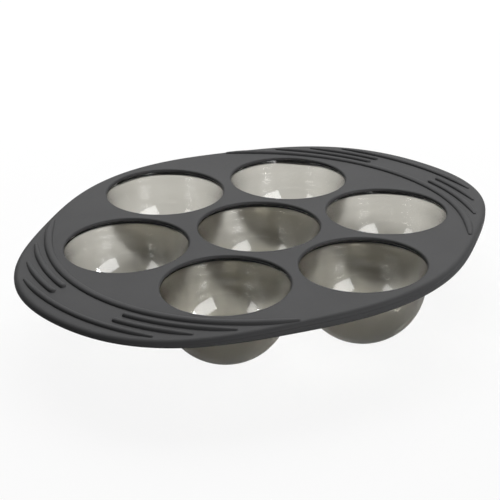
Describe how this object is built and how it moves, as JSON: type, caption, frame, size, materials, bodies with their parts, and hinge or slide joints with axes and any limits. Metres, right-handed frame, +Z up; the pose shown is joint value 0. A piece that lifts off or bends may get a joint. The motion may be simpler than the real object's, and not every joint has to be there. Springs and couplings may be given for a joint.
{
  "type": "silicone baking mould",
  "caption": "Soft baking mould: deep round see-through cups held by their rims in an opaque flat deck that runs out to a ribbed grip at each end.",
  "frame": {"origin": "centre of the footprint, on the plane that the cups' feet stand on", "axes": "+Z up out of the cups' mouths, X along the line through both grips, Y across the deck"},
  "size_m": [0.3008, 0.2402, 0.0451],
  "materials": {
    "charcoal_silicone": "matte charcoal silicone with a fine moulded grain",
    "smoke_silicone": "glossy translucent smoke-beige silicone"
  },
  "bodies": {
    "root": {"deck": "charcoal_silicone", "cup_centre": "smoke_silicone", "cup_right_back": "smoke_silicone", "cup_back": "smoke_silicone", "cup_left_back": "smoke_silicone", "cup_left_front": "smoke_silicone", "cup_front": "smoke_silicone", "cup_right_front": "smoke_silicone"}
  },
  "joints": []
}
